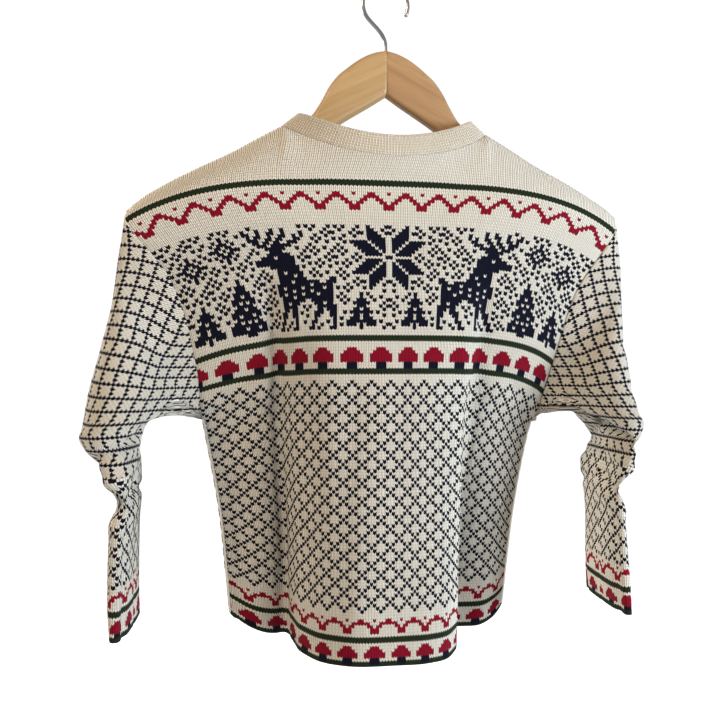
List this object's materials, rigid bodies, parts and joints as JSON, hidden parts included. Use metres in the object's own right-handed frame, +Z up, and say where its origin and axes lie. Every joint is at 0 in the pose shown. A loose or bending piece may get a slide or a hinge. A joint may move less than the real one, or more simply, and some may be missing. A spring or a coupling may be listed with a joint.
{
  "type": "knitted cardigan on a wooden hanger",
  "caption": "Child's patterned knit cardigan with buttoned front, rib neckband and set-in sleeves, hung open-necked on a two-armed wooden hanger with a wire hook.",
  "frame": {"origin": "the point where a rail bears on the inside of the top of the hanger's hook", "axes": "+Z up, the garment's front faces -Y and its back faces +Y, and +X is the wearer's left"},
  "size_m": [0.4977, 0.1476, 0.6064],
  "materials": {
    "cream_wool": "knitted, with navy, crimson and dark green patterns",
    "cream_rib": "ribbed knit",
    "light_wood": "clear satin lacquer",
    "steel": "bright plated wire",
    "navy_button": "satin"
  },
  "bodies": {
    "root": {"back": "cream_wool", "front_left": "cream_wool", "front_right": "cream_wool", "sleeve_left": "cream_wool", "sleeve_right": "cream_wool", "neckband": "cream_rib", "button_band_left": "cream_rib", "button_band_right": "cream_rib", "button_1": "navy_button", "button_2": "navy_button", "button_3": "navy_button", "button_4": "navy_button", "button_5": "navy_button", "button_6": "navy_button", "hanger_arm_left": "light_wood", "hanger_arm_right": "light_wood", "hanger_hook": "steel"}
  },
  "joints": []
}
